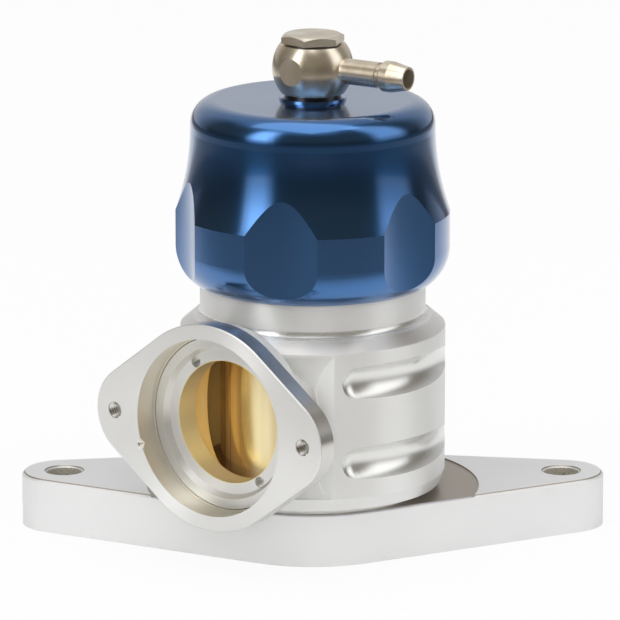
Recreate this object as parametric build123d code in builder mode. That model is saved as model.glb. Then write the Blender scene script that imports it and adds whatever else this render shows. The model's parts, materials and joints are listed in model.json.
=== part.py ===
from build123d import *
import os
from math import cos, pi, radians, sin, sqrt

os.makedirs("parts", exist_ok=True)

# Lengths are millimetres. Z is the valve's own axis, z = 0 is the plate's gasket face,
# and X runs along the plate. Angles round the valve are measured from -Y towards +X.

# Clearances
running = 0.06
seal_gap = 0.03
flat_gap = 0.1

# The piston's radius drives the bores, the neck and the spring round it
piston_r = 23.2

# Base adapter plate
plate_t = 13.6
bolt_span = 126.2
bolt_line_y = 13.0
bolt_hole_r = 4.5
bolt_hole_bevel = 0.6
ear_r = 10.7
nose_r = 28.6
back_r = 29.5
back_y = 3.8
plate_bevel = 0.8
turned_r = 41.8
turned_depth = 0.3
inlet_r = 16.0

# Screws that hold the body to the plate, from beneath
screw_r = 2.0
screw_head_r = 3.5
screw_head_h = 4.0
screw_socket = 3.0
screw_sunk = 0.4
screw_circle_r = 24.3
screw_angles = (65, 115, 245, 295)
screw_bite = 4.6

# Valve body, turned form
pilot_r = 18.0
pilot_h = 4.0
foot_inset = 5.65
foot_h = 2.0
hem_inset = 1.15
hem_h = 3.2
barrel_wall = 6.15
barrel_top_z = 55.2
shoulder_step = 1.7
shoulder_z = 57.95
neck_wall = 4.94
neck_fillet = 1.7
neck_top_z = 92.0
neck_bevel = 0.8
chamber_gap = 3.8
chamber_floor_z = 19.0
chamber_top_z = 47.5

# Hollow relief in the barrel's port side, and how far along the port it starts
relief_depth = 3.65
relief_curve = 17.0
relief_low_z = 26.3
relief_high_z = 44.0
relief_step = 22.7

# Scooped grooves in the pads left beside the relief
groove_ball_r = 5.0
groove_deepest = 2.55
groove_shift = 8.0
groove_aim = 79.8
groove_heights = (27.2, 47.6)
groove_start = -18.7
groove_end = 47.0

# Outlet port and flange; port_turn is the port's angle from -Y towards -X
port_turn = 37.8
port_z = 36.75
port_face = 42.2
flange_t = 5.4
flange_mid_r = 26.0
flange_end_r = 12.0
flange_end_x = 23.3
flange_bevel = 0.3
flange_hole_x = 29.5
flange_hole_r = 2.1
collar_r = 24.6
collar_back = 32.6
boss_r = 20.0
boss_end = 28.2
boss_root = 19.4
recess_r = 22.25
recess_depth = 6.5
recess_ledge = 0.4
dimple_r = 1.5
dimple_turn = 199.0

# Outlet ring
ring_bore_r = 15.4
ring_wall = 1.8
ring_clear = 4.6
ring_rim_t = 2.5
ring_land_t = 1.0
ring_step_r = 19.2
ring_step_run = 1.0
ring_gap = 0.2
ring_pin_r = 1.4
ring_pin_circle = 17.0
ring_pin_depth = 2.0
ring_pin_turn = 126.0

# Piston
piston_rise = 0.3
piston_top_z = 72.0
piston_wall = 3.2
piston_floor_t = 3.7
band_z = 53.5
band_h = 5.0
band_t = 1.0
band_split = 1.0
piston_seal_heights = (62.0, 67.5)

# Seal sections and circles
oring_r = 0.9
seat_seal_circle = 21.0
base_seal_circle = 20.3
face_seal_circle = 18.3
outlet_oring_r = 0.75
outlet_seal_circle = 19.6

# Cap: walls are measured from its bore, heights from the end of its skirt
cap_skirt = 25.3
cap_head = 20.5
cap_bottom_wall = 1.34
cap_band_wall = 5.94
cap_waist_wall = 2.19
cap_band_low = 8.8
cap_band_top = 17.7
cap_waist = 38.3
cap_hem_by = (3.37, 3.87)
cap_flare_by = (2.35, 8.2)
cap_round = 6.0
cap_over_neck = 7.5
cap_step = 3.26
cap_roof_t = 5.5
cap_boss_r = 8.3
cap_boss_h = 0.7
cap_seal = 3.9
scallop_count = 6
scallop_turn = -13.7
scallop_depth = 2.45
scallop_r = 35.4

# Spring, spring seat and thrust washer
washer_t = 1.0
washer_out_r = 18.0
washer_in_r = 7.0
seat_t = 2.4
seat_rim = 2.0
seat_spigot_h = 2.0
wire_r = 1.5
coil_clear = 3.0
coil_grip = 0.6
coil_turns = 8.0

# Banjo bolt, washers and fitting
bolt_r = 5.0
bolt_head_af = 14.0
bolt_head_h = 2.1
bolt_head_bevel = 0.5
bolt_reach = 6.9
bolt_bore_r = 1.9
bolt_cross_r = 1.6
soft_washer_t = 1.0
soft_washer_r = 7.0
top_washer_t = 0.4
top_washer_r = 7.0
ball_r = 10.1
ball_low = 6.3
ball_high = 5.9
ball_flat_r = 3.4
ball_flat_turn = -35.0
ball_groove_r = 6.6
ball_groove_h = 5.0
barb_turn = 57.3
barb_bore_r = 2.4
stem_root = 8.1
stem_r = 3.2
stem_end = 19.6
neck_in_r = 2.95
barb_start = 20.6
barb_r = 3.85
barb_rise = 0.7
barb_flat_end = 23.4
barb_tip = 27.8
barb_tip_r = 2.9


def around(turn, radius, height=0.0):
    return Vector(radius * sin(radians(turn)), -radius * cos(radians(turn)), height)


# Levels, axes and planes that several pieces share
up = Vector(0, 0, 1)
guide_r = piston_r + running
neck_r = guide_r + neck_wall
cap_bore_r = neck_r + running
chamber_r = piston_r + chamber_gap
barrel_r = chamber_r + barrel_wall
foot_r = barrel_r - foot_inset
hem_r = barrel_r - hem_inset
shoulder_r = neck_r + shoulder_step
relief_r = barrel_r - relief_depth
coil_r = piston_r - piston_wall - coil_clear - wire_r
seat_out_r = coil_r + wire_r + seat_rim
seat_spigot_r = coil_r - wire_r - coil_grip
cap_bottom_z = neck_top_z - cap_skirt
cap_bottom_r = cap_bore_r + cap_bottom_wall
cap_band_r = cap_bore_r + cap_band_wall
cap_waist_r = cap_bore_r + cap_waist_wall
cap_band_low_z = cap_bottom_z + cap_band_low
cap_band_top_z = cap_bottom_z + cap_band_top
cap_waist_z = cap_bottom_z + cap_waist
cap_hem_mid = (cap_bottom_r + cap_hem_by[0], cap_bottom_z + cap_hem_by[1])
cap_flare_mid = (cap_band_r - cap_flare_by[0], cap_band_top_z + cap_flare_by[1])
cap_top_z = neck_top_z + cap_head
cap_seal_z = cap_bottom_z + cap_seal
cap_thread_z = neck_top_z + cap_over_neck
cap_cavity_r = cap_bore_r - cap_step
deck_z = plate_t - turned_depth
foot_top_z = deck_z + foot_h
hem_top_z = foot_top_z + hem_h
port_dir = around(-port_turn, 1)
port_side = around(90 - port_turn, 1)
port_plane = Plane(origin=(0, 0, port_z), x_dir=port_side, z_dir=port_dir)
port_section = Plane(origin=(0, 0, port_z), x_dir=port_side, z_dir=(0, 0, -1))
port_axis = Axis((0, 0, port_z), port_dir)
recess_floor = port_face - recess_depth
pocket_floor = recess_floor - ring_rim_t
pocket_r = recess_r - recess_ledge
ring_inner_end = piston_r + ring_clear
throat_r = ring_bore_r + ring_wall + 0.05
cap_boss_z = cap_top_z + cap_boss_h
ball_bottom_z = cap_boss_z + soft_washer_t
ball_z = ball_bottom_z + ball_low
ball_top_z = ball_z + ball_high
head_z = ball_top_z + top_washer_t
roof_z = cap_top_z - cap_roof_t
seat_z = roof_z - washer_t - seat_t
bolt_end_z = cap_top_z - bolt_reach
piston_z = chamber_floor_z + piston_rise
spring_z = piston_z + piston_floor_t
screw_points = [around(turn, screw_circle_r) for turn in screw_angles]
ear_points = [(-bolt_span / 2, bolt_line_y), (bolt_span / 2, bolt_line_y)]
groove_half_w = oring_r + 0.15
groove_depth = 2 * oring_r + seal_gap

# Base adapter plate
with BuildPart() as base_adapter:
    with BuildSketch():
        Circle(nose_r)
        with Locations((0, back_y)):
            Circle(back_r)
        with Locations(*ear_points):
            Circle(ear_r)
        make_hull()
    extrude(amount=plate_t)
    chamfer(base_adapter.faces().sort_by(Axis.Z)[-1].edges(), plate_bevel)
    with BuildSketch(Plane.XY.offset(deck_z)):
        Circle(turned_r)
    extrude(amount=turned_depth, mode=Mode.SUBTRACT)
    with BuildSketch(Plane.XY):
        Circle(inlet_r)
        with Locations(*ear_points):
            Circle(bolt_hole_r)
        with Locations(*screw_points):
            Circle(screw_r + 0.2)
    extrude(amount=plate_t, mode=Mode.SUBTRACT)
    with BuildSketch(Plane.XY.offset(deck_z)):
        Circle(pilot_r + running)
    extrude(amount=-pilot_h - flat_gap, mode=Mode.SUBTRACT)
    with BuildSketch(Plane.XY.offset(deck_z)):
        Circle(base_seal_circle + groove_half_w)
        Circle(base_seal_circle - groove_half_w, mode=Mode.SUBTRACT)
    extrude(amount=-groove_depth, mode=Mode.SUBTRACT)
    with BuildSketch(Plane.XY):
        Circle(face_seal_circle + groove_half_w)
        Circle(face_seal_circle - groove_half_w, mode=Mode.SUBTRACT)
    extrude(amount=groove_depth, mode=Mode.SUBTRACT)
    with BuildSketch(Plane.XY):
        with Locations(*screw_points):
            Circle(screw_head_r + 0.2)
    extrude(amount=screw_sunk + screw_head_h, mode=Mode.SUBTRACT)
    rims = base_adapter.edges().filter_by(GeomType.CIRCLE)
    chamfer(rims.filter_by(lambda e: abs(e.radius - bolt_hole_r) < 0.01), bolt_hole_bevel)
base_adapter.part.label = "base_adapter"
export_step(base_adapter.part, "parts/base_adapter.step")

# Base screws, four cap screws in one node
with BuildPart() as base_screws:
    with BuildSketch(Plane.XY.offset(screw_sunk)):
        with Locations(*screw_points):
            Circle(screw_head_r)
    extrude(amount=screw_head_h)
    with BuildSketch(Plane.XY.offset(screw_sunk)):
        with Locations(*screw_points):
            Circle(screw_r - 0.02)
    extrude(amount=deck_z + screw_bite - screw_sunk - 0.3)
    with BuildSketch(Plane.XY.offset(screw_sunk)):
        with Locations(*screw_points):
            RegularPolygon(screw_socket / 2, 6, major_radius=False)
    extrude(amount=screw_head_h / 2, mode=Mode.SUBTRACT)
base_screws.part.label = "base_screws"
export_step(base_screws.part, "parts/base_screws.step")

# Hollow relief: a turned scoop, kept only where it lies beyond the flat step
with BuildPart() as relief:
    curve_x = relief_r + relief_curve
    high_run = barrel_top_z - relief_high_z
    low_run = relief_low_z - hem_top_z
    high_mid = high_run / 2
    low_mid = low_run / 2
    with BuildSketch(Plane.XZ):
        with BuildLine():
            ThreePointArc(
                (curve_x - sqrt(relief_curve**2 - low_run**2), hem_top_z),
                (curve_x - sqrt(relief_curve**2 - low_mid**2), relief_low_z - low_mid),
                (relief_r, relief_low_z),
            )
            Line((relief_r, relief_low_z), (relief_r, relief_high_z))
            ThreePointArc(
                (relief_r, relief_high_z),
                (curve_x - sqrt(relief_curve**2 - high_mid**2), relief_high_z + high_mid),
                (curve_x - sqrt(relief_curve**2 - high_run**2), barrel_top_z),
            )
            Polyline(
                (curve_x - sqrt(relief_curve**2 - high_run**2), barrel_top_z),
                (curve_x, barrel_top_z),
                (curve_x, hem_top_z),
                (curve_x - sqrt(relief_curve**2 - low_run**2), hem_top_z),
            )
        make_face()
    revolve(axis=Axis.Z)
    with BuildSketch(port_plane.offset(relief_step)):
        Rectangle(3 * curve_x, 3 * curve_x)
    extrude(amount=-3 * curve_x, mode=Mode.SUBTRACT)

# Ball-ended grooves, one side swept and then mirrored across the port
groove_path_r = barrel_r - groove_deepest + groove_ball_r + groove_shift
with BuildPart() as grooves:
    for height in groove_heights:
        path_centre = up * height - port_dir.rotate(Axis.Z, groove_aim) * groove_shift
        outward = port_dir.rotate(Axis.Z, groove_aim + groove_start)
        ball_centre = path_centre + outward * groove_path_r
        with BuildSketch(Plane(origin=ball_centre, x_dir=outward, z_dir=outward.rotate(Axis.Z, 90))):
            Circle(groove_ball_r)
        revolve(axis=Axis(path_centre, up), revolution_arc=groove_end - groove_start)
        with Locations(ball_centre):
            Sphere(groove_ball_r)
    mirror(about=Plane(origin=(0, 0, 0), x_dir=(0, 0, 1), z_dir=port_side))

# Port boss with its flange
with BuildPart() as port:
    with BuildSketch(port_plane.offset(port_face)):
        Circle(flange_mid_r)
        with Locations((-flange_end_x, 0), (flange_end_x, 0)):
            Circle(flange_end_r)
        make_hull()
    extrude(amount=-flange_t)
    chamfer(port.faces().sort_by(port_axis)[-1].edges(), flange_bevel)
    chamfer(port.faces().sort_by(port_axis)[0].edges(), flange_bevel)
    with BuildSketch(port_section):
        with BuildLine():
            Polyline(
                (0, boss_root),
                (boss_r, boss_root),
                (boss_r, boss_end),
                (collar_r, collar_back),
                (collar_r, port_face - 1),
                (0, port_face - 1),
                close=True,
            )
        make_face()
    revolve(axis=port_axis)

# Valve body
with BuildPart() as valve_body:
    with BuildSketch(Plane.XZ):
        with BuildLine():
            Polyline(
                (neck_r, shoulder_z + neck_fillet),
                (neck_r, neck_top_z - neck_bevel),
                (neck_r - neck_bevel, neck_top_z),
                (0, neck_top_z),
                (0, deck_z - pilot_h),
                (pilot_r, deck_z - pilot_h),
                (pilot_r, deck_z),
                (foot_r, deck_z),
                (foot_r, foot_top_z),
                (hem_r, foot_top_z),
                (barrel_r, hem_top_z),
                (barrel_r, barrel_top_z),
                (shoulder_r, shoulder_z),
            )
            fillet_turn = (1 - sqrt(0.5)) * neck_fillet
            ThreePointArc(
                (shoulder_r, shoulder_z),
                (neck_r + fillet_turn, shoulder_z + fillet_turn),
                (neck_r, shoulder_z + neck_fillet),
            )
        make_face()
    revolve(axis=Axis.Z)
    add(relief.part, mode=Mode.SUBTRACT)
    add(grooves.part, mode=Mode.SUBTRACT)
    add(port.part)
    with BuildSketch(Plane.XZ):
        with BuildLine():
            Polyline(
                (0, deck_z - pilot_h),
                (inlet_r, deck_z - pilot_h),
                (inlet_r, chamber_floor_z),
                (chamber_r, chamber_floor_z),
                (chamber_r, chamber_top_z),
                (guide_r, chamber_top_z),
                (guide_r, neck_top_z),
                (0, neck_top_z),
                close=True,
            )
        make_face()
    revolve(axis=Axis.Z, mode=Mode.SUBTRACT)
    with BuildSketch(port_plane.offset(port_face)):
        Circle(recess_r)
    extrude(amount=-recess_depth, mode=Mode.SUBTRACT)
    with BuildSketch(port_plane.offset(recess_floor)):
        Circle(pocket_r)
    extrude(amount=-ring_rim_t, mode=Mode.SUBTRACT)
    with BuildSketch(port_plane.offset(port_face)):
        Circle(throat_r)
    extrude(amount=piston_r / 2 - port_face, mode=Mode.SUBTRACT)
    with BuildSketch(port_plane.offset(pocket_floor)):
        Circle(outlet_seal_circle + outlet_oring_r + 0.1)
        Circle(outlet_seal_circle - outlet_oring_r - 0.1, mode=Mode.SUBTRACT)
    extrude(amount=-2 * outlet_oring_r - seal_gap, mode=Mode.SUBTRACT)
    with BuildSketch(port_plane.offset(port_face)):
        with Locations((-flange_hole_x, 0), (flange_hole_x, 0)):
            Circle(flange_hole_r)
    extrude(amount=-flange_t - 1, mode=Mode.SUBTRACT)
    dimple_at = (recess_r * cos(radians(dimple_turn)), recess_r * sin(radians(dimple_turn)))
    with Locations((port_plane.offset(port_face) * Pos(*dimple_at))):
        Cone(0, dimple_r, dimple_r, align=(Align.CENTER, Align.CENTER, Align.MAX), mode=Mode.SUBTRACT)
    with BuildSketch(Plane.XY.offset(deck_z)):
        with Locations(*screw_points):
            Circle(screw_r)
    extrude(amount=screw_bite, mode=Mode.SUBTRACT)
valve_body.part.label = "valve_body"
export_step(valve_body.part, "parts/valve_body.step")

# Outlet ring with two pin holes
ring_r = pocket_r - ring_gap
with BuildPart() as outlet_ring:
    with BuildSketch(port_section):
        with BuildLine():
            Polyline(
                (ring_bore_r, ring_inner_end),
                (ring_bore_r + ring_wall, ring_inner_end),
                (ring_bore_r + ring_wall, pocket_floor),
                (ring_r, pocket_floor),
                (ring_r, recess_floor),
                (ring_step_r, recess_floor),
                (ring_step_r - ring_step_run, pocket_floor + ring_land_t),
                (ring_bore_r, pocket_floor + ring_land_t),
                close=True,
            )
        make_face()
    revolve(axis=port_axis)
    pin_x = ring_pin_circle * cos(radians(ring_pin_turn))
    pin_y = ring_pin_circle * sin(radians(ring_pin_turn))
    with BuildSketch(port_plane.offset(pocket_floor + ring_land_t)):
        with Locations((pin_x, pin_y), (-pin_x, -pin_y)):
            Circle(ring_pin_r)
    extrude(amount=-ring_pin_depth, mode=Mode.SUBTRACT)
outlet_ring.part.label = "outlet_ring"
export_step(outlet_ring.part, "parts/outlet_ring.step")

# Piston
with BuildPart() as piston:
    with BuildSketch(Plane.XZ):
        with BuildLine():
            Polyline(
                (0, piston_z),
                (piston_r - 0.5, piston_z),
                (piston_r, piston_z + 0.5),
                (piston_r, piston_top_z - 0.5),
                (piston_r - 0.5, piston_top_z),
                (piston_r - piston_wall, piston_top_z),
                (piston_r - piston_wall, spring_z),
                (0, spring_z),
                close=True,
            )
        make_face()
    revolve(axis=Axis.Z)
    with BuildSketch(Plane.XY.offset(piston_z)):
        Circle(seat_seal_circle + groove_half_w)
        Circle(seat_seal_circle - groove_half_w, mode=Mode.SUBTRACT)
    extrude(amount=groove_depth - piston_rise + 0.02, mode=Mode.SUBTRACT)
    with BuildSketch(Plane.XY.offset(band_z)):
        Circle(piston_r + 1)
        Circle(piston_r - band_t, mode=Mode.SUBTRACT)
    extrude(amount=band_h, mode=Mode.SUBTRACT)
    for height in piston_seal_heights:
        with BuildSketch(Plane.XY.offset(height - groove_half_w)):
            Circle(piston_r + 1)
            Circle(guide_r - groove_depth, mode=Mode.SUBTRACT)
        extrude(amount=2 * groove_half_w, mode=Mode.SUBTRACT)
piston.part.label = "piston"
export_step(piston.part, "parts/piston.step")

# Piston guide band, split at one side
with BuildPart() as piston_guide_band:
    with BuildSketch(Plane.XY.offset(band_z + 0.05)):
        Circle(guide_r - 0.02)
        Circle(piston_r - band_t + 0.02, mode=Mode.SUBTRACT)
        with Locations((0, piston_r)):
            Rectangle(band_split, 4 * band_t, mode=Mode.SUBTRACT)
    extrude(amount=band_h - 0.1)
piston_guide_band.part.label = "piston_guide_band"
export_step(piston_guide_band.part, "parts/piston_guide_band.step")

# Piston O-rings
oring_circle = guide_r - oring_r - seal_gap / 2
with BuildPart() as piston_oring_lower:
    with Locations((0, 0, piston_seal_heights[0])):
        Torus(oring_circle, oring_r)
piston_oring_lower.part.label = "piston_oring_lower"
export_step(piston_oring_lower.part, "parts/piston_oring_lower.step")

with BuildPart() as piston_oring_upper:
    with Locations((0, 0, piston_seal_heights[1])):
        Torus(oring_circle, oring_r)
piston_oring_upper.part.label = "piston_oring_upper"
export_step(piston_oring_upper.part, "parts/piston_oring_upper.step")

# Seat O-ring, in the piston's lower face
with BuildPart() as seat_oring:
    with Locations((0, 0, chamber_floor_z + oring_r + 0.02)):
        Torus(seat_seal_circle, oring_r)
seat_oring.part.label = "seat_oring"
export_step(seat_oring.part, "parts/seat_oring.step")

# Base O-ring, between body and plate
with BuildPart() as base_oring:
    with Locations((0, 0, deck_z - oring_r - seal_gap / 2)):
        Torus(base_seal_circle, oring_r)
base_oring.part.label = "base_oring"
export_step(base_oring.part, "parts/base_oring.step")

# Adapter face O-ring, in the gasket face
with BuildPart() as adapter_face_oring:
    with Locations((0, 0, oring_r + seal_gap / 2)):
        Torus(face_seal_circle, oring_r)
adapter_face_oring.part.label = "adapter_face_oring"
export_step(adapter_face_oring.part, "parts/adapter_face_oring.step")

# Outlet ring O-ring
with BuildPart() as outlet_ring_oring:
    with Locations(port_plane.offset(pocket_floor - outlet_oring_r - seal_gap / 2)):
        Torus(outlet_seal_circle, outlet_oring_r)
outlet_ring_oring.part.label = "outlet_ring_oring"
export_step(outlet_ring_oring.part, "parts/outlet_ring_oring.step")

# Main spring: closed end coils, open coils between, ends ground flat
spring_h = seat_z - spring_z
step_count = int(coil_turns * 12)
spring_points = []
for step in range(step_count + 1):
    turn = coil_turns * step / step_count
    low = min(turn, 1.0) * 2 * wire_r
    high = max(turn - coil_turns + 1.0, 0.0) * 2 * wire_r
    middle = min(max(turn - 1.0, 0.0), coil_turns - 2.0) / (coil_turns - 2.0)
    height = low + high + middle * (spring_h - 5 * wire_r)
    angle = 2 * pi * turn
    spring_points.append((coil_r * cos(angle), coil_r * sin(angle), spring_z + height + 0.2))
with BuildPart() as spring:
    with BuildLine() as coil:
        Spline(*spring_points)
    with BuildSketch(Plane(origin=coil.line @ 0, z_dir=coil.line % 0)):
        Circle(wire_r)
    sweep(path=coil.line, is_frenet=True)
    with BuildSketch(Plane.XY.offset(spring_z)):
        Circle(coil_r + 3)
    extrude(amount=-3, mode=Mode.SUBTRACT)
    with BuildSketch(Plane.XY.offset(seat_z)):
        Circle(coil_r + 3)
    extrude(amount=3, mode=Mode.SUBTRACT)
spring.part.label = "spring"
export_step(spring.part, "parts/spring.step")

# Spring seat
with BuildPart() as spring_seat:
    with BuildSketch(Plane.XZ):
        with BuildLine():
            Polyline(
                (washer_in_r, seat_z - seat_spigot_h),
                (seat_spigot_r - 0.5, seat_z - seat_spigot_h),
                (seat_spigot_r, seat_z - seat_spigot_h + 0.5),
                (seat_spigot_r, seat_z),
                (seat_out_r, seat_z),
                (seat_out_r, seat_z + seat_t),
                (washer_in_r, seat_z + seat_t),
                close=True,
            )
        make_face()
    revolve(axis=Axis.Z)
spring_seat.part.label = "spring_seat"
export_step(spring_seat.part, "parts/spring_seat.step")

# Thrust washer
with BuildPart() as thrust_washer:
    with BuildSketch(Plane.XY.offset(roof_z - washer_t)):
        Circle(washer_out_r)
        Circle(washer_in_r, mode=Mode.SUBTRACT)
    extrude(amount=washer_t)
thrust_washer.part.label = "thrust_washer"
export_step(thrust_washer.part, "parts/thrust_washer.step")

# Cap
scallop_axis_r = cap_band_r - scallop_depth + scallop_r
cap_groove_r = cap_bore_r + groove_depth
with BuildPart() as cap:
    with BuildSketch(Plane.XZ):
        with BuildLine():
            ThreePointArc((cap_bottom_r, cap_bottom_z), cap_hem_mid, (cap_band_r, cap_band_low_z))
            Line((cap_band_r, cap_band_low_z), (cap_band_r, cap_band_top_z))
            ThreePointArc((cap_band_r, cap_band_top_z), cap_flare_mid, (cap_waist_r, cap_waist_z))
            Line((cap_waist_r, cap_waist_z), (cap_waist_r, cap_top_z - cap_round))
            round_turn = (1 - sqrt(0.5)) * cap_round
            ThreePointArc(
                (cap_waist_r, cap_top_z - cap_round),
                (cap_waist_r - round_turn, cap_top_z - round_turn),
                (cap_waist_r - cap_round, cap_top_z),
            )
            Polyline(
                (cap_waist_r - cap_round, cap_top_z),
                (cap_boss_r + 0.2, cap_top_z),
                (cap_boss_r, cap_boss_z),
                (bolt_r + 0.05, cap_boss_z),
                (bolt_r + 0.05, roof_z),
                (cap_cavity_r, roof_z),
                (cap_cavity_r, cap_thread_z),
                (cap_bore_r, cap_thread_z),
                (cap_bore_r, cap_seal_z + groove_half_w),
                (cap_groove_r, cap_seal_z + groove_half_w),
                (cap_groove_r, cap_seal_z - groove_half_w),
                (cap_bore_r, cap_seal_z - groove_half_w),
                (cap_bore_r, cap_bottom_z + 0.4),
                (cap_bore_r + 0.4, cap_bottom_z),
                (cap_bottom_r, cap_bottom_z),
            )
        make_face()
    revolve(axis=Axis.Z)
    with BuildSketch(Plane.XY.offset(cap_bottom_z)):
        for index in range(scallop_count):
            turn = scallop_turn + 360 / scallop_count * index
            with Locations(around(turn, scallop_axis_r)):
                Circle(scallop_r)
    extrude(amount=cap_top_z - cap_bottom_z, mode=Mode.SUBTRACT)
cap.part.label = "cap"
export_step(cap.part, "parts/cap.step")

# Cap O-ring, on the neck
with BuildPart() as cap_oring:
    with Locations((0, 0, cap_seal_z)):
        Torus(neck_r + oring_r + 0.03, oring_r)
cap_oring.part.label = "cap_oring"
export_step(cap_oring.part, "parts/cap_oring.step")

# Lower banjo washer
with BuildPart() as banjo_washer_lower:
    with BuildSketch(Plane.XY.offset(cap_boss_z)):
        Circle(soft_washer_r)
        Circle(bolt_r + 0.1, mode=Mode.SUBTRACT)
    extrude(amount=soft_washer_t)
banjo_washer_lower.part.label = "banjo_washer_lower"
export_step(banjo_washer_lower.part, "parts/banjo_washer_lower.step")

# Upper banjo washer
with BuildPart() as banjo_washer_upper:
    with BuildSketch(Plane.XY.offset(ball_top_z)):
        Circle(top_washer_r)
        Circle(bolt_r + 0.1, mode=Mode.SUBTRACT)
    extrude(amount=top_washer_t)
banjo_washer_upper.part.label = "banjo_washer_upper"
export_step(banjo_washer_upper.part, "parts/banjo_washer_upper.step")

# Banjo fitting: truncated ball, stem and barb
barb_dir = around(barb_turn, 1)
barb_axis = Axis((0, 0, ball_z), barb_dir)
barb_section = Plane(origin=(0, 0, ball_z), x_dir=barb_dir, z_dir=barb_dir.cross(up))
flat_reach = sqrt(ball_r**2 - ball_flat_r**2)
with BuildPart() as banjo_fitting:
    with Locations((0, 0, ball_z)):
        Sphere(ball_r)
    with BuildSketch(barb_section):
        with BuildLine():
            Polyline(
                (stem_root, 0),
                (stem_root, stem_r),
                (stem_end, stem_r),
                (stem_end, neck_in_r),
                (barb_start, neck_in_r),
                (barb_start + barb_rise, barb_r),
                (barb_flat_end, barb_r),
                (barb_tip, barb_tip_r),
                (barb_tip, 0),
                close=True,
            )
        make_face()
    revolve(axis=barb_axis)
    with BuildSketch(Plane.XY.offset(ball_bottom_z)):
        Circle(ball_r)
    extrude(amount=-ball_r, mode=Mode.SUBTRACT)
    with BuildSketch(Plane.XY.offset(ball_top_z)):
        Circle(ball_r)
    extrude(amount=ball_r, mode=Mode.SUBTRACT)
    for turn in (ball_flat_turn, ball_flat_turn + 180):
        face_plane = Plane(origin=around(turn, flat_reach, ball_z), z_dir=around(turn, 1))
        with BuildSketch(face_plane):
            Circle(ball_r)
        extrude(amount=ball_r, mode=Mode.SUBTRACT)
    with BuildSketch(Plane.XY.offset(ball_bottom_z)):
        Circle(bolt_r + running)
    extrude(amount=ball_low + ball_high, mode=Mode.SUBTRACT)
    with BuildSketch(Plane.XY.offset(ball_z - ball_groove_h / 2)):
        Circle(ball_groove_r)
    extrude(amount=ball_groove_h, mode=Mode.SUBTRACT)
    with BuildSketch(Plane(origin=(0, 0, ball_z), z_dir=barb_dir)):
        Circle(barb_bore_r)
    extrude(amount=barb_tip + 1, mode=Mode.SUBTRACT)
banjo_fitting.part.label = "banjo_fitting"
export_step(banjo_fitting.part, "parts/banjo_fitting.step")

# Banjo bolt
with BuildPart() as banjo_bolt:
    with BuildSketch(Plane.XY.offset(bolt_end_z)):
        Circle(bolt_r)
    extrude(amount=head_z - bolt_end_z)
    with BuildSketch(Plane.XY.offset(head_z)):
        RegularPolygon(bolt_head_af / 2, 6, major_radius=False, rotation=15)
    extrude(amount=bolt_head_h)
    with BuildSketch(Plane.XZ):
        with BuildLine():
            Polyline(
                (bolt_head_af / 2 - 0.2, head_z + bolt_head_h),
                (bolt_head_af / 2 + 3, head_z + bolt_head_h - 1.6),
                (bolt_head_af / 2 + 3, head_z + bolt_head_h),
                close=True,
            )
        make_face()
    revolve(axis=Axis.Z, mode=Mode.SUBTRACT)
    with BuildSketch(Plane.XY.offset(bolt_end_z)):
        Circle(bolt_bore_r)
    extrude(amount=ball_z + 1.6 - bolt_end_z, mode=Mode.SUBTRACT)
    with BuildSketch(Plane(origin=(0, 0, ball_z), z_dir=(1, 0, 0))):
        Circle(bolt_cross_r)
    extrude(amount=bolt_r + 1, both=True, mode=Mode.SUBTRACT)
banjo_bolt.part.label = "banjo_bolt"
export_step(banjo_bolt.part, "parts/banjo_bolt.step")
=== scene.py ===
import bmesh
import bpy
import json
import math
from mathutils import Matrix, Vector


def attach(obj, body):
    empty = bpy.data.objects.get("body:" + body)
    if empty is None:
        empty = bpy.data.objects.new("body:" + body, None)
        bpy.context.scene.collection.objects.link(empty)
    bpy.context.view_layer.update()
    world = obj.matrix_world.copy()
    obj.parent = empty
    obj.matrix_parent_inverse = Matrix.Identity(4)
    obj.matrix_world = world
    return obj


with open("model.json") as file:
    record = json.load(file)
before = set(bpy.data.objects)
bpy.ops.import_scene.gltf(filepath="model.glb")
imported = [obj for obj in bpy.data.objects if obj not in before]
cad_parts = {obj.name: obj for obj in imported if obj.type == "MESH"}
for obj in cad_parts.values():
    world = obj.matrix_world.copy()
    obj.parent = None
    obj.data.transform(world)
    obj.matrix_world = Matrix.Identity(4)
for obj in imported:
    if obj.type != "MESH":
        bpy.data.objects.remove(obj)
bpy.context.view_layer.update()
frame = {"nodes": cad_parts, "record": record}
nodes = frame["nodes"]
print("frame loaded:", len(nodes), "nodes")

# The camera stands a little above the valve and well back, on a long lens
camera = {
    "elevation": 13.684,  # degrees above the horizon
    "distance": 1.45617,  # metres from the aim point
    "aimHeight": 0.058577,
    "lens": 338.2,
    "sensor": 36.0,
    "shiftX": -0.0045,
    "clipStart": 0.05,
    "clipEnd": 30.0,
}
tilt = math.radians(camera["elevation"])
cameraData = bpy.data.cameras.new("studioCamera")
cameraData.lens = camera["lens"]
cameraData.sensor_width = camera["sensor"]
cameraData.shift_x = camera["shiftX"]
cameraData.clip_start = camera["clipStart"]
cameraData.clip_end = camera["clipEnd"]
cameraObject = bpy.data.objects.new("studioCamera", cameraData)
cameraObject.location = (
    0.0,
    -camera["distance"] * math.cos(tilt),
    camera["aimHeight"] + camera["distance"] * math.sin(tilt),
)
cameraObject.rotation_euler = (math.pi / 2 - tilt, 0.0, 0.0)
bpy.context.scene.collection.objects.link(cameraObject)
bpy.context.scene.camera = cameraObject
bpy.context.scene.view_settings.view_transform = "Standard"

# Angles round the valve are measured from -Y towards +X, lengths are in metres
port = {"turn": -37.8, "height": 0.03675, "face": 0.0422}
plateHole = {"x": 0.0631, "y": 0.0130}
portTurn = math.radians(port["turn"])
portDir = Vector((math.sin(portTurn), -math.cos(portTurn), 0.0))
portSide = Vector((-portDir.y, portDir.x, 0.0))
portOrigin = Vector((0.0, 0.0, port["height"]))
centre = Vector((0.0, 0.0, 0.0))
upward = Vector((0.0, 0.0, 1.0))


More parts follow.
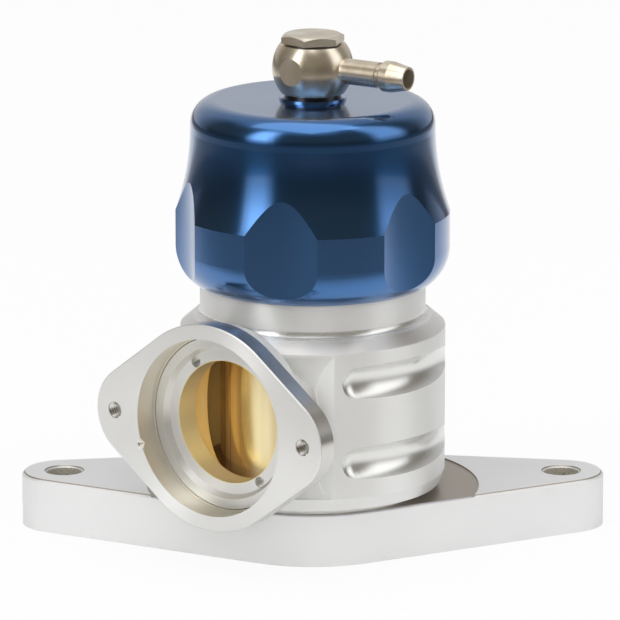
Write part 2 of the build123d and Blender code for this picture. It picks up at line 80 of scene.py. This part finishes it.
def addNode(tree, kind, **settings):
    node = tree.nodes.new(kind)
    for name, value in settings.items():
        if name in node.inputs:
            node.inputs[name].default_value = value
        else:
            setattr(node, name, value)
    return node


def newMaterial(name, **values):
    material = bpy.data.materials.new(name)
    material.use_nodes = True
    tree = material.node_tree
    shader = tree.nodes["Principled BSDF"]
    for socket, value in values.items():
        shader.inputs[socket.replace("_", " ")].default_value = value
    return material, tree, shader


# A socket gets a plain value, or a link when it is given another node's output
def feed(tree, socket, value):
    if isinstance(value, bpy.types.NodeSocket):
        tree.links.new(value, socket)
    else:
        socket.default_value = value


def mathNode(tree, operation, first, second=None):
    node = addNode(tree, "ShaderNodeMath", operation=operation)
    feed(tree, node.inputs[0], first)
    if second is not None:
        feed(tree, node.inputs[1], second)
    return node.outputs[0]


def vectorNode(tree, operation, first, second=None):
    node = addNode(tree, "ShaderNodeVectorMath", operation=operation)
    feed(tree, node.inputs[0], first)
    if second is not None:
        feed(tree, node.inputs[1], second)
    givesNumber = operation in ("DOT_PRODUCT", "LENGTH", "DISTANCE")
    return node.outputs["Value" if givesNumber else "Vector"]


# The Mix node's sockets for each kind of value: two inputs and an output
mixSockets = {"FLOAT": (2, 3, 0), "VECTOR": (4, 5, 1), "RGBA": (6, 7, 2)}


def mixOf(tree, kind, share, first, second):
    firstPlace, secondPlace, result = mixSockets[kind]
    mixer = addNode(tree, "ShaderNodeMix", data_type=kind)
    tree.links.new(share, mixer.inputs["Factor"])
    for place, value in ((firstPlace, first), (secondPlace, second)):
        feed(tree, mixer.inputs[place], (*value, 1.0) if isinstance(value, tuple) else value)
    return mixer.outputs[result]


def addNoise(tree, place, scale, detail=2.0, roughness=0.55):
    noise = addNode(tree, "ShaderNodeTexNoise", Scale=scale, Detail=detail, Roughness=roughness)
    tree.links.new(place, noise.inputs["Vector"])
    return noise.outputs["Fac"]


def rampNode(tree, source, stops):
    ramp = addNode(tree, "ShaderNodeValToRGB")
    elements = ramp.color_ramp.elements
    while len(elements) < len(stops):
        elements.new(0.5)
    for element, (position, colour) in zip(elements, stops):
        element.position = position
        element.color = (*colour, 1.0)
    tree.links.new(source, ramp.inputs[0])
    return ramp.outputs["Color"]


def addBump(tree, shader, height, strength, distance):
    bump = addNode(tree, "ShaderNodeBump", Strength=strength, Distance=distance)
    tree.links.new(height, bump.inputs["Height"])
    tree.links.new(bump.outputs[0], shader.inputs["Normal"])


def alongAxis(tree, place, origin, direction):
    return vectorNode(tree, "DOT_PRODUCT", vectorNode(tree, "SUBTRACT", place, origin), direction)


# Vector that points round an axis, as long as the distance from it
def roundAxis(tree, place, origin, direction):
    return vectorNode(tree, "CROSS_PRODUCT", vectorNode(tree, "SUBTRACT", place, origin), direction)


def axisDistance(tree, place, origin, direction):
    return vectorNode(tree, "LENGTH", roundAxis(tree, place, origin, direction))


# Direction of the turning marks at each point
def marksWay(tree, place, origin, direction):
    return vectorNode(tree, "NORMALIZE", roundAxis(tree, place, origin, direction))


# Highlights stretch across the turning marks, as they do on a lathe-turned surface
def stretchAcross(tree, shader, marks):
    toWorld = addNode(
        tree, "ShaderNodeVectorTransform",
        vector_type="VECTOR", convert_from="OBJECT", convert_to="WORLD",
    )
    tree.links.new(marks, toWorld.inputs[0])
    normal = addNode(tree, "ShaderNodeNewGeometry").outputs["True Normal"]
    across = vectorNode(tree, "CROSS_PRODUCT", toWorld.outputs[0], normal)
    tree.links.new(vectorNode(tree, "NORMALIZE", across), shader.inputs["Tangent"])


# Angle round the upright axis, from -Y towards +X
def turnRound(tree, place):
    split = addNode(tree, "ShaderNodeSeparateXYZ")
    tree.links.new(place, split.inputs[0])
    backward = mathNode(tree, "MULTIPLY", split.outputs["Y"], -1.0)
    return mathNode(tree, "ARCTAN2", split.outputs["X"], backward)


# Share that goes smoothly from nothing at the start to all of it at the end
def fade(tree, value, start, end):
    eased = addNode(tree, "ShaderNodeMapRange", interpolation_type="SMOOTHSTEP")
    eased.inputs["From Min"].default_value = start
    eased.inputs["From Max"].default_value = end
    tree.links.new(value, eased.inputs["Value"])
    return eased.outputs[0]


# Share of a value between two limits, eased over a width; a limit of None is left open
def between(tree, value, low, high, ease):
    if low is None:
        return fade(tree, value, high + ease, high - ease)
    rising = fade(tree, value, low - ease, low + ease)
    if high is None:
        return rising
    return mathNode(tree, "MULTIPLY", rising, fade(tree, value, high + ease, high - ease))


# What a patch can be limited by: distances from an axis, and distances along one
measures = {
    "height": (alongAxis, centre, upward),
    "radius": (axisDistance, centre, upward),
    "reach": (alongAxis, portOrigin, portDir),  # how far out towards the port
    "portRadius": (axisDistance, portOrigin, portDir),
    "leftHole": (axisDistance, (-plateHole["x"], plateHole["y"], 0.0), upward),
    "rightHole": (axisDistance, (plateHole["x"], plateHole["y"], 0.0), upward),
    "x": (alongAxis, centre, (1.0, 0.0, 0.0)),
    "y": (alongAxis, centre, (0.0, 1.0, 0.0)),
}


# A patch lies where all its ranges hold; each gives its two limits and the width of its edges
def patchShare(tree, place, ranges):
    share = None
    for measure, limits in ranges.items():
        take, origin, direction = measures[measure]
        part = between(tree, take(tree, place, origin, direction), *limits)
        share = part if share is None else mathNode(tree, "MULTIPLY", share, part)
    return share


# What a metal has unless its own dictionary says otherwise
plainMetal = {
    "metal": 1.0,
    "origin": centre,
    "direction": upward,
    "turned": False,
    "fine": 2600.0,  # scale of the turning marks
    "fineDetail": 3.0,
    "fineRough": 0.6,
    "grain": 1800.0,
    "broad": 45.0,  # scale of the slow change between dull and colour
    "dullUntil": 0.3,
    "colourFrom": 0.7,
    "ringShare": 0.6,  # how much of the surface's unevenness is turning marks
    "bump": 0.25,
    "depth": 0.000006,
    "sockets": {},
}


def metalMaterial(name, own, patches=()):
    finish = {**plainMetal, **own}
    axis = (finish["origin"], finish["direction"])
    metal, level = finish["metal"], finish["rough"]
    material, tree, shader = newMaterial(name, Metallic=metal, **finish["sockets"])
    place = addNode(tree, "ShaderNodeTexCoord").outputs["Object"]
    pair = addNode(tree, "ShaderNodeCombineXYZ")
    tree.links.new(axisDistance(tree, place, *axis), pair.inputs[0])
    tree.links.new(alongAxis(tree, place, *axis), pair.inputs[1])
    rings = addNoise(
        tree, pair.outputs[0], finish["fine"], finish["fineDetail"], finish["fineRough"]
    )
    grain = addNoise(tree, place, finish["grain"])
    broad = addNoise(tree, place, finish["broad"])
    stops = [(finish["dullUntil"], finish["dull"]), (finish["colourFrom"], finish["colour"])]
    colour = rampNode(tree, broad, stops)
    ringPart = mathNode(tree, "MULTIPLY", rings, finish["ringShare"])
    grainPart = mathNode(tree, "MULTIPLY", grain, 1.0 - finish["ringShare"])
    uneven = mathNode(tree, "ADD", ringPart, grainPart)
    centred = mathNode(tree, "SUBTRACT", uneven, 0.5)
    spread = mathNode(tree, "MULTIPLY", centred, 2.0 * finish["spread"])
    for patch in patches:
        where = patch["where"]
        share = patchShare(tree, place, where) if isinstance(where, dict) else where(tree, place)
        colour = mixOf(tree, "RGBA", share, colour, patch["colour"])
        level = mixOf(tree, "FLOAT", share, level, patch["rough"])
        metal = mixOf(tree, "FLOAT", share, metal, patch["metal"])
    feed(tree, shader.inputs["Metallic"], metal)
    tree.links.new(colour, shader.inputs["Base Color"])
    tree.links.new(mathNode(tree, "ADD", spread, level), shader.inputs["Roughness"])
    addBump(tree, shader, uneven, finish["bump"], finish["depth"])
    if finish["turned"]:
        marks = marksWay(tree, place, *axis)
        if "flange" in finish:
            atFlange = patchShare(tree, place, finish["flange"])
            portMarks = marksWay(tree, place, portOrigin, portDir)
            marks = mixOf(tree, "VECTOR", atFlange, marks, portMarks)
        stretchAcross(tree, shader, marks)
    return material


bodyPatches = (
    # Ball-milled grooves in the pads
    {
        "where": {
            "height": (0.0215, 0.0532, 0.0002),
            "radius": (0.0290, 0.03308, 0.00004),
            "reach": (None, 0.02255, 0.00005),
        },
        "colour": (0.86, 0.86, 0.84), "rough": 0.23, "metal": 0.9,
    },
    # Throat behind the outlet ring, painted gold for the reflected light of the brass piston behind
    # it
    {
        "where": {"reach": (0.0115, 0.0305, 0.0001), "portRadius": (None, 0.0185, 0.0001)},
        "colour": (0.95, 0.66, 0.23), "rough": 0.5, "metal": 0.1,
    },
    # Bare wall of the chamber, gold from the light that the piston throws on it
    {
        "where": {"height": (0.0192, 0.0476, 0.0002), "radius": (None, 0.0275, 0.0002)},
        "colour": (0.95, 0.64, 0.20), "rough": 0.5, "metal": 0.1,
    },
    # Floor of the chamber, in shade under the piston
    {
        "where": {"height": (0.0180, 0.0206, 0.0003), "radius": (None, 0.0300, 0.0002)},
        "colour": (0.50, 0.30, 0.09), "rough": 0.4, "metal": 0.3,
    },
    # Flat step between the hollow beside the port and the gripping pads
    {
        "where": {"reach": (0.02264, 0.02285, 0.00002), "radius": (0.0285, None, 0.0002)},
        "colour": (0.82, 0.82, 0.81), "rough": 0.6, "metal": 0.1,
    },
    # Shaded corner between the port's boss and the flange
    {
        "where": {"reach": (0.0325, 0.0366, 0.0045), "portRadius": (None, 0.0215, 0.0010)},
        "colour": (0.50, 0.45, 0.38), "rough": 0.3, "metal": 0.8,
    },
    # Smooth turned hollow between the barrel's rim and its hem, beside the port, with dark brown
    # shade painted into its colour
    {
        "where": {
            "height": (0.0300, 0.0435, 0.0045),
            "radius": (0.0240, 0.0320, 0.0010),
            "portRadius": (0.0180, None, 0.0004),
            "reach": (0.0231, None, 0.0001),
        },
        "colour": (0.48, 0.42, 0.34), "rough": 0.30, "metal": 0.8,
    },
    # Sloping shoulder between the barrel and the neck
    {
        "where": {"height": (0.05535, 0.05785, 0.0002), "reach": (None, 0.0300, 0.001)},
        "colour": (0.92, 0.90, 0.88), "rough": 0.32, "metal": 0.97,
    },
    # Sharp turned ledge and fillet at the foot of the neck
    {
        "where": {"height": (0.05780, 0.05985, 0.0001), "reach": (None, 0.0330, 0.001)},
        "colour": (0.90, 0.89, 0.87), "rough": 0.26, "metal": 0.85,
    },
    # Milled edge all round the outlet flange, painted darker to stand in for the dark reflections
    # it shows
    {
        "where": {"reach": (0.03705, 0.04195, 0.0001), "portRadius": (0.0232, None, 0.0002)},
        "colour": (0.74, 0.73, 0.70), "rough": 0.22, "metal": 1.0,
    },
    # Bored wall of the outlet recess
    {
        "where": {"reach": (0.0330, 0.0421, 0.0001), "portRadius": (None, 0.0230, 0.0002)},
        "colour": (0.82, 0.78, 0.68), "rough": 0.34, "metal": 0.8,
    },
)

ringPatches = (
    # Bore of the outlet ring's sleeve, painted gold for the reflected light of the brass piston
    # behind it
    {
        "where": {"portRadius": (None, 0.0156, 0.0001)},
        "colour": (0.82, 0.73, 0.45), "rough": 0.36, "metal": 0.6,
    },
)

platePatches = (
    # Turned recess in the upper face
    {
        "where": {"height": (0.0130, 0.0137, 0.0002), "radius": (None, 0.0416, 0.0001)},
        "colour": (0.47, 0.45, 0.48), "rough": 0.40, "metal": 0.8,
    },
    # Thin line of painted shade along the rim of the recess
    {
        "where": {"height": (0.0131, 0.01355, 0.00003), "radius": (0.0412, 0.0419, 0.00005)},
        "colour": (0.30, 0.28, 0.28), "rough": 0.40, "metal": 0.8,
    },
    # Bores of the two bolt holes
    *(
        {
            "where": {hole: (None, 0.00456, 0.00004)},
            "colour": (0.70, 0.66, 0.58), "rough": 0.28, "metal": 0.6,
        }
        for hole in ("leftHole", "rightHole")
    ),
    # Dark line of painted shade along the upper bevel of the top edge
    {
        "where": {"height": (0.01328, 0.01354, 0.00003)},
        "colour": (0.42, 0.37, 0.31), "rough": 0.35, "metal": 0.8,
    },
)

# Shaded streaks that run down the piston: waves round it, and three dark lines on its left
streaks = {
    "level": 0.12,
    "waves": ((13.0, 0.10), (41.0, 0.05)),  # radians of wave to a radian of turn, and strength
    "lines": (  # from, to and ease in radians, and strength
        (-1.27, -1.22, 0.012, 0.8),
        (-1.10, -1.075, 0.010, 0.8),
        (-0.895, -0.880, 0.008, 0.48),
    ),
}


def onStreaks(tree, place):
    turned = turnRound(tree, place)
    shade, dark = streaks["level"], 0.0
    for pace, strength in streaks["waves"]:
        wave = mathNode(tree, "SINE", mathNode(tree, "MULTIPLY", turned, pace))
        shade = mathNode(tree, "ADD", mathNode(tree, "MULTIPLY", wave, strength), shade)
    for low, high, ease, strength in streaks["lines"]:
        line = between(tree, turned, low, high, ease)
        dark = mathNode(tree, "ADD", mathNode(tree, "MULTIPLY", line, strength), dark)
    return mathNode(tree, "MAXIMUM", shade, dark)


pistonPatches = (
    # Right side as seen through the port, where it catches the pale light
    {
        "where": {"y": (None, -0.002, 0.001), "x": (-0.0148, 0.004, 0.0022)},
        "colour": (1.0, 0.88, 0.54), "rough": 0.22, "metal": 0.5,
    },
    {"where": onStreaks, "colour": (0.40, 0.22, 0.05), "rough": 0.20, "metal": 0.7},
)

materials = {
    "satin_aluminium": metalMaterial(
        "satinAluminium",
        {
            "colour": (0.84, 0.84, 0.825), "dull": (0.80, 0.80, 0.785),
            "rough": 0.40, "spread": 0.05, "metal": 0.58,
            "turned": True, "flange": {"reach": (0.0365, None, 0.0002)},
            "sockets": {"Anisotropic": 0.9},
        },
        bodyPatches,
    ),
    "ring_aluminium": metalMaterial(
        "turnedAluminium",
        {
            "colour": (0.82, 0.82, 0.80), "dull": (0.78, 0.78, 0.76),
            "rough": 0.34, "spread": 0.05, "metal": 0.8,
            "turned": True, "origin": portOrigin, "direction": portDir,
            "fine": 1500.0, "ringShare": 0.85, "depth": 0.000016,
            "sockets": {"Anisotropic": 0.7},
        },
        ringPatches,
    ),
    "plate_aluminium": metalMaterial(
        "plateAluminium",
        {
            "colour": (0.82, 0.82, 0.82), "dull": (0.79, 0.79, 0.79),
            "rough": 0.46, "spread": 0.04, "metal": 0.5, "ringShare": 0.2,
        },
        platePatches,
    ),
    "blue_anodised": metalMaterial(
        "blueAnodised",
        {
            "colour": (0.036, 0.165, 0.44), "dull": (0.033, 0.155, 0.41),
            "rough": 0.20, "spread": 0.03, "turned": True,
            "sockets": {
                "Anisotropic": 0.5, "Coat_Weight": 1.0, "Coat_Roughness": 0.10, "Coat_IOR": 1.55,
            },
        },
    ),
    "brass": metalMaterial(
        "polishedBrass",
        {
            "colour": (0.84, 0.62, 0.25), "dull": (0.76, 0.54, 0.19),
            "rough": 0.20, "spread": 0.03, "metal": 0.75, "bump": 0.04,
        },
        pistonPatches,
    ),
    "nickel": metalMaterial(
        "warmNickel",
        {
            "colour": (0.95, 0.88, 0.76), "dull": (0.66, 0.55, 0.39),
            "rough": 0.24, "spread": 0.05, "metal": 0.88, "ringShare": 0.1, "broad": 110.0,
        },
    ),
    "spring_steel": metalMaterial(
        "springSteel",
        {"colour": (0.45, 0.45, 0.47), "dull": (0.36, 0.36, 0.38), "rough": 0.35, "spread": 0.06},
    ),
    "screw_steel": metalMaterial(
        "blackScrewSteel",
        {"colour": (0.08, 0.08, 0.085), "dull": (0.05, 0.05, 0.055), "rough": 0.38, "spread": 0.06},
    ),
    "washer_steel": metalMaterial(
        "groundSteel",
        {"colour": (0.6, 0.6, 0.6), "dull": (0.52, 0.52, 0.52), "rough": 0.28, "spread": 0.05},
    ),
    "soft_washer": metalMaterial(
        "darkWasher",
        {"colour": (0.10, 0.10, 0.11), "dull": (0.07, 0.07, 0.08), "rough": 0.3, "spread": 0.05},
    ),
}

# Rubber and plastic
softFinish = {
    "broad": 220.0,
    "dullUntil": 0.35,
    "colourFrom": 0.65,
    "fine": 5200.0,
    "bump": 0.2,
    "depth": 0.00001,
}


def softMaterial(name, colour, dull, rough):
    material, tree, shader = newMaterial(name, Roughness=rough)
    place = addNode(tree, "ShaderNodeTexCoord").outputs["Object"]
    broad = addNoise(tree, place, softFinish["broad"])
    stops = [(softFinish["dullUntil"], dull), (softFinish["colourFrom"], colour)]
    tree.links.new(rampNode(tree, broad, stops), shader.inputs["Base Color"])
    fineGrain = addNoise(tree, place, softFinish["fine"])
    addBump(tree, shader, fineGrain, softFinish["bump"], softFinish["depth"])
    return material


materials["seal_rubber"] = softMaterial(
    "sealRubber", (0.018, 0.018, 0.019), (0.028, 0.028, 0.028), 0.55
)
materials["band_plastic"] = softMaterial(
    "bronzeFilledBand", (0.16, 0.11, 0.07), (0.22, 0.16, 0.10), 0.5
)
print("materials made:", len(materials))

# The outlet ring is turned about the port, so its finish differs from the body's
slotOfNode = {entry["node"]: entry["material_slot"] for entry in frame["record"]["subparts"]}
slotOfNode["outlet_ring"] = "ring_aluminium"
for nodeName, nodeObject in nodes.items():
    for slot in nodeObject.material_slots:
        slot.material = materials[slotOfNode[nodeName]]
print("finishes given to the solids")

# Threads cut in the flange's two holes
thread = {
    "offset": 0.0295,  # from the port's axis to the hole's
    "root": 0.00209,
    "crest": 0.00172,
    "crestFrom": 0.44,  # share of the pitch
    "crestTo": 0.56,
    "pitch": 0.0008,
    "turns": 5,
    "start": 0.0004,  # below the flange's face
    "steps": 32,
}
threadProfile = []
for ridge in range(thread["turns"]):
    depth = thread["start"] + ridge * thread["pitch"]
    threadProfile.append((thread["root"], depth))
    threadProfile.append((thread["crest"], depth + thread["pitch"] * thread["crestFrom"]))
    threadProfile.append((thread["crest"], depth + thread["pitch"] * thread["crestTo"]))
threadProfile.append((thread["root"], thread["start"] + thread["turns"] * thread["pitch"]))
threadMaterial = metalMaterial(
    "cutThread",
    {
        "colour": (0.86, 0.85, 0.82), "dull": (0.76, 0.74, 0.70), "rough": 0.22, "spread": 0.05,
        "origin": portOrigin, "direction": portDir,
    },
)
for sideName, sideWay in (("Left", -1.0), ("Right", 1.0)):
    mouth = portOrigin + portDir * port["face"] + portSide * thread["offset"] * sideWay
    mesh = bmesh.new()
    corners = [
        mesh.verts.new(mouth + upward * radius - portDir * depth)
        for radius, depth in threadProfile
    ]
    edges = [mesh.edges.new(pair) for pair in zip(corners, corners[1:])]
    bmesh.ops.spin(
        mesh, geom=corners + edges, cent=mouth, axis=portDir,
        angle=2 * math.pi, steps=thread["steps"], use_merge=True,
    )
    bmesh.ops.recalc_face_normals(mesh, faces=mesh.faces)
    threadMesh = bpy.data.meshes.new("flangeThread" + sideName)
    mesh.to_mesh(threadMesh)
    mesh.free()
    threadMesh.materials.append(threadMaterial)
    threadObject = bpy.data.objects.new("flangeThread" + sideName, threadMesh)
    bpy.context.scene.collection.objects.link(threadObject)
    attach(threadObject, "housing")
print("threads cut in the flange")

# The floor looks plain white and keeps a faint shadow. What the metal reflects is a strip of
# white paper that runs under the valve and back, on a brown table in a dim room
floor = {
    "size": 8.0,
    "colour": (0.86, 0.86, 0.86),
    "rough": 0.9,
    "glow": 0.90,  # how much of what the camera sees is plain white
    "paperCentre": (0.0, 0.22, 0.0),
    "paperReach": 0.36,  # from the paper's centre
    "paperEdge": 0.09,
    "table": (0.28, 0.25, 0.22),
    "tableReach": 0.66,
    "tableEdge": 0.12,
    "beyond": (0.07, 0.07, 0.07),
}
mesh = bmesh.new()
bmesh.ops.create_grid(mesh, x_segments=1, y_segments=1, size=floor["size"] / 2)
floorMesh = bpy.data.meshes.new("studioFloor")
mesh.to_mesh(floorMesh)
mesh.free()
floorObject = bpy.data.objects.new("studioFloor", floorMesh)
bpy.context.scene.collection.objects.link(floorObject)
floorMaterial, tree, shader = newMaterial("floorWhite", Roughness=floor["rough"])
place = addNode(tree, "ShaderNodeTexCoord").outputs["Object"]
nearest = vectorNode(tree, "MINIMUM", place, (floor["size"], floor["paperCentre"][1], 1.0))
fromCentre = vectorNode(tree, "DISTANCE", nearest, floor["paperCentre"])
onPaper = between(tree, fromCentre, None, floor["paperReach"], floor["paperEdge"])
onTable = between(tree, fromCentre, None, floor["tableReach"], floor["tableEdge"])
tableColour = mixOf(tree, "RGBA", onTable, floor["beyond"], floor["table"])
paperColour = mixOf(tree, "RGBA", onPaper, tableColour, floor["colour"])
isCamera = addNode(tree, "ShaderNodeLightPath").outputs["Is Camera Ray"]
floorColour = mixOf(tree, "RGBA", isCamera, paperColour, floor["colour"])
tree.links.new(floorColour, shader.inputs["Base Color"])
glow = addNode(tree, "ShaderNodeEmission", Strength=1.0)
mixer = addNode(tree, "ShaderNodeMixShader")
tree.links.new(mathNode(tree, "MULTIPLY", isCamera, floor["glow"]), mixer.inputs[0])
tree.links.new(shader.outputs[0], mixer.inputs[1])
tree.links.new(glow.outputs[0], mixer.inputs[2])
tree.links.new(mixer.outputs[0], tree.nodes["Material Output"].inputs["Surface"])
floorMesh.materials.append(floorMaterial)

# Surroundings: a pale wall behind, a dim room in front with two tall soft boxes, a soft ceiling
room = {
    "leftBox": (-64.0, -38.0),  # from and to, in degrees from -Y towards +X
    "rightBox": (60.0, 98.0),
    "boxSoft": 7.0,
    "wallStart": 128.0,
    "wallSoft": 14.0,
    "backStart": 163.0,
    "backSoft": 8.0,
    "low": {"front": 0.07, "left": 1.10, "right": 0.62, "wall": 0.54, "back": 0.60},
    "high": {"front": 0.13, "left": 3.00, "right": 1.30, "wall": 0.50, "back": 0.60},
    "boxTurn": (4.0, 16.0),  # elevations between which low gives way to high
    "tint": (1.15, 1.0, 0.78),  # brown of the dim side
    "ceiling": 0.56,
    "ceilingFrom": (42.0, 60.0),
    "ceilingEnd": 0.30,  # the ceiling's bright panel stops short on the right
    "ceilingSoft": 0.10,
    "ceilingRest": 0.15,  # share of the ceiling's light beyond the panel
    "even": 0.70,  # light without direction, for surfaces that aren't glossy
}
world = bpy.data.worlds.new("studioRoom")
bpy.context.scene.world = world
world.use_nodes = True
tree = world.node_tree
background = tree.nodes["Background"]
way = addNode(tree, "ShaderNodeTexCoord").outputs["Generated"]
split = addNode(tree, "ShaderNodeSeparateXYZ")
tree.links.new(way, split.inputs[0])
turnShare = mathNode(
    tree, "ADD", mathNode(tree, "DIVIDE", turnRound(tree, way), 2 * math.pi), 0.5
)
elevation = mathNode(tree, "ARCSINE", split.outputs["Z"])
riseShare = mathNode(tree, "ADD", mathNode(tree, "MULTIPLY", elevation, 1 / math.pi), 0.5)


def grey(value):
    return (value, value, value)


# Light round the horizon at one level, from the back on the left to the back on the right
def bandOfLight(level):
    front = tuple(level["front"] * part for part in room["tint"])
    wall, back = grey(level["wall"]), grey(level["back"])
    wallStart, wallSoft = room["wallStart"], room["wallSoft"]
    backStart, backSoft = room["backStart"], room["backSoft"]
    stops = [
        (-backStart - backSoft, back), (-backStart + backSoft, wall),
        (-wallStart - wallSoft, wall), (-wallStart + wallSoft, front),
    ]
    for side in ("left", "right"):
        start, end = room[side + "Box"]
        box, soft = grey(level[side]), room["boxSoft"]
        stops += [(start - soft / 2, front), (start + soft, box)]
        stops += [(end - soft, box), (end + soft / 2, front)]
    stops += [
        (wallStart - wallSoft, front), (wallStart + wallSoft, wall),
        (backStart - backSoft, wall), (backStart + backSoft, back),
    ]
    return rampNode(tree, turnShare, [(degrees / 360 + 0.5, colour) for degrees, colour in stops])


def risenBetween(low, high):
    return rampNode(tree, riseShare, [(0.5 + low / 180, grey(0.0)), (0.5 + high / 180, grey(1.0))])


lowBand, highBand = bandOfLight(room["low"]), bandOfLight(room["high"])
around = mixOf(tree, "RGBA", risenBetween(*room["boxTurn"]), lowBand, highBand)
panel = between(tree, split.outputs["X"], None, room["ceilingEnd"], room["ceilingSoft"])
panelPart = mathNode(tree, "MULTIPLY", panel, 1.0 - room["ceilingRest"])
panelShare = mathNode(tree, "ADD", panelPart, room["ceilingRest"])
ceilingShare = mathNode(tree, "MULTIPLY", risenBetween(*room["ceilingFrom"]), panelShare)
upper = mixOf(tree, "RGBA", ceilingShare, around, grey(room["ceiling"]))
lightPath = addNode(tree, "ShaderNodeLightPath")
plain = mixOf(tree, "RGBA", lightPath.outputs["Is Diffuse Ray"], upper, grey(room["even"]))
seen = mixOf(tree, "RGBA", lightPath.outputs["Is Camera Ray"], plain, grey(1.0))
tree.links.new(seen, background.inputs["Color"])
background.inputs["Strength"].default_value = 1.0
print("studio built")

# The hidden lamps don't show in reflections; power is in watts and spread in degrees
lamps = {
    "ceilingLamp": {
        "place": (-0.1, -0.1, 1.5), "target": (0.0, 0.0, 0.05),
        "size": (1.4, 1.2), "power": 5.4, "hidden": False,
    },
    "leftLamp": {
        "place": (-0.93, -0.84, 0.95), "target": (0.0, 0.0, 0.06),
        "size": (0.5, 0.5), "power": 2.0, "hidden": True,
    },
    "rightLamp": {
        "place": (1.0, -0.7, 0.95), "target": (0.0, 0.0, 0.06),
        "size": (0.5, 0.5), "power": 2.0, "hidden": True,
    },
    "frontLamp": {
        "place": (0.02, -1.2, 0.33), "target": (-0.02, -0.03, 0.037),
        "size": (0.7, 0.7), "power": 5.2, "hidden": True,
    },
    # Narrow beam through the outlet into the chamber
    "outletLamp": {
        "place": (-0.022, -0.36, 0.119), "target": (-0.022, -0.02, 0.036),
        "size": (0.02, 0.02), "power": 0.0007, "hidden": True, "spread": 9.0,
    },
}
for lampName, lamp in lamps.items():
    light = bpy.data.lights.new(lampName, "AREA")
    light.shape = "RECTANGLE"
    light.size, light.size_y = lamp["size"]
    light.energy = lamp["power"]
    lampObject = bpy.data.objects.new(lampName, light)
    lampObject.location = lamp["place"]
    aim = Vector(lamp["target"]) - Vector(lamp["place"])
    lampObject.rotation_mode = "QUATERNION"
    lampObject.rotation_quaternion = aim.to_track_quat("-Z", "Y")
    lampObject.visible_glossy = not lamp["hidden"]
    if "spread" in lamp:
        light.spread = math.radians(lamp["spread"])
        lampObject.visible_camera = False
    bpy.context.scene.collection.objects.link(lampObject)
print("lamps placed")
